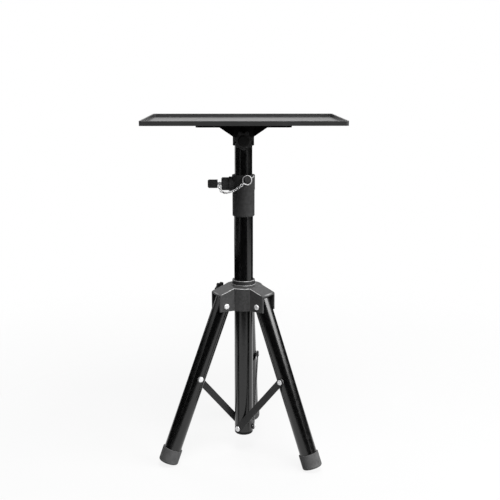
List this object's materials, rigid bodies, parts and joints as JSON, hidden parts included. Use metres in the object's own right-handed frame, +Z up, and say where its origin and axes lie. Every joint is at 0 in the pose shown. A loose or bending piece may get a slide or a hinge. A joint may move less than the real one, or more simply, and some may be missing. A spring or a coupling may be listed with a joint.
{
  "type": "portable projector stand",
  "caption": "Portable stand with a rimmed tray on a telescopic pole, a pinned height collar and a folding tripod with flat braces.",
  "frame": {"origin": "on the floor, under the middle of the stand's outline seen from above", "axes": "+Z up along the pole, the tray's front edge towards -Y, the tray's width along X"},
  "size_m": [0.38, 0.3265, 0.699],
  "materials": {
    "black_tube": "gloss black enamel on steel tube",
    "black_moulding": "black moulded plastic",
    "collar_moulding": "dark grey moulded plastic",
    "hub_moulding": "dark grey moulded plastic, lightly textured",
    "brace_paint": "satin dark grey paint on flat steel bar",
    "foot_rubber": "grey rubber",
    "bright_steel": "bright plated steel",
    "screw_steel": "plain steel screw",
    "tray_paint": "satin black paint on steel sheet"
  },
  "bodies": {
    "pole": {"lower_tube": "black_tube", "lower_tube_plug": "black_moulding", "collar": "collar_moulding", "collar_stud": "collar_moulding", "split_ring": "bright_steel", "pin_chain": "bright_steel", "brace_foot_rivet_left": "bright_steel", "brace_foot_rivet_right": "bright_steel", "brace_foot_rivet_rear": "bright_steel"},
    "mast": {"upper_tube": "black_tube"},
    "tray_head": {"tray": "tray_paint", "tray_mount_plate": "black_moulding", "tray_socket": "black_moulding"},
    "tray_knob_body": {"tray_knob": "black_moulding", "tray_knob_screw": "screw_steel"},
    "pin": {"locking_pin": "bright_steel", "pin_head": "black_moulding"},
    "hub_body": {"hub": "hub_moulding", "leg_pivot_left": "bright_steel", "leg_pivot_right": "bright_steel", "leg_pivot_rear": "bright_steel"},
    "hub_knob_body": {"hub_knob": "black_moulding", "hub_knob_screw": "screw_steel"},
    "leg_left_body": {"leg_left": "black_tube", "foot_cap_left": "foot_rubber", "leg_rivet_left": "bright_steel"},
    "brace_left_body": {"brace_left": "brace_paint", "brace_joint_rivet_left": "bright_steel"},
    "leg_right_body": {"leg_right": "black_tube", "foot_cap_right": "foot_rubber", "leg_rivet_right": "bright_steel"},
    "brace_right_body": {"brace_right": "brace_paint", "brace_joint_rivet_right": "bright_steel"},
    "leg_rear_body": {"leg_rear": "black_tube", "foot_cap_rear": "foot_rubber", "leg_rivet_rear": "bright_steel"},
    "brace_rear_body": {"brace_rear": "brace_paint", "brace_joint_rivet_rear": "bright_steel"}
  },
  "joints": [
    {"name": "height_slide", "type": "slide", "parent": "pole", "child": "mast", "axis": [0, 0, 1], "range_m": [-0.04, 0.33]},
    {"name": "tray_swivel", "type": "hinge", "parent": "mast", "child": "tray_head", "pos_m": [0, -0.02321, 0.644], "axis": [0, 0, 1], "continuous": true},
    {"name": "tray_knob_turn", "type": "hinge", "parent": "tray_head", "child": "tray_knob_body", "pos_m": [0, -0.04421, 0.656], "axis": [0, -1, 0], "continuous": true},
    {"name": "pin_pull", "type": "slide", "parent": "pole", "child": "pin", "axis": [-1, 0, 0], "range_m": [0, 0.02]},
    {"name": "hub_slide", "type": "slide", "parent": "pole", "child": "hub_body", "axis": [0, 0, 1], "range_m": [0, 0.04089]},
    {"name": "hub_knob_turn", "type": "hinge", "parent": "hub_body", "child": "hub_knob_body", "pos_m": [-0.03074, -0.00088, 0.342], "axis": [-0.809, 0.5878, 0], "continuous": true},
    {"name": "leg_left_fold", "type": "hinge", "parent": "hub_body", "child": "leg_left_body", "pos_m": [-0.04339, -0.04254, 0.325], "axis": [0.4067, -0.9135, 0], "range_deg": [0, 21.02]},
    {"name": "brace_left_fold", "type": "hinge", "parent": "pole", "child": "brace_left_body", "pos_m": [-0.00844, -0.00426, 0.054], "axis": [-0.4067, 0.9135, 0], "range_deg": [0, 22.8]},
    {"name": "leg_right_fold", "type": "hinge", "parent": "hub_body", "child": "leg_right_body", "pos_m": [0.03843, -0.05113, 0.325], "axis": [0.5878, 0.809, 0], "range_deg": [0, 21.02]},
    {"name": "brace_right_fold", "type": "hinge", "parent": "pole", "child": "brace_right_body", "pos_m": [-0.0122, -0.04, 0.054], "axis": [-0.5878, -0.809, 0], "range_deg": [0, 22.8]},
    {"name": "leg_rear_fold", "type": "hinge", "parent": "hub_body", "child": "leg_rear_body", "pos_m": [0.00496, 0.02403, 0.325], "axis": [-0.9945, 0.1045, 0], "range_deg": [0, 21.02]},
    {"name": "brace_rear_fold", "type": "hinge", "parent": "pole", "child": "brace_rear_body", "pos_m": [0.02064, -0.02538, 0.054], "axis": [0.9945, -0.1045, 0], "range_deg": [0, 22.8]}
  ],
  "couplings": [
    {"joint": "leg_left_fold", "follows": "hub_slide", "rad_per_m": 8.9635},
    {"joint": "brace_left_fold", "follows": "hub_slide", "rad_per_m": 9.7221},
    {"joint": "leg_right_fold", "follows": "hub_slide", "rad_per_m": 8.9635},
    {"joint": "brace_right_fold", "follows": "hub_slide", "rad_per_m": 9.7221},
    {"joint": "leg_rear_fold", "follows": "hub_slide", "rad_per_m": 8.9635},
    {"joint": "brace_rear_fold", "follows": "hub_slide", "rad_per_m": 9.7221}
  ]
}
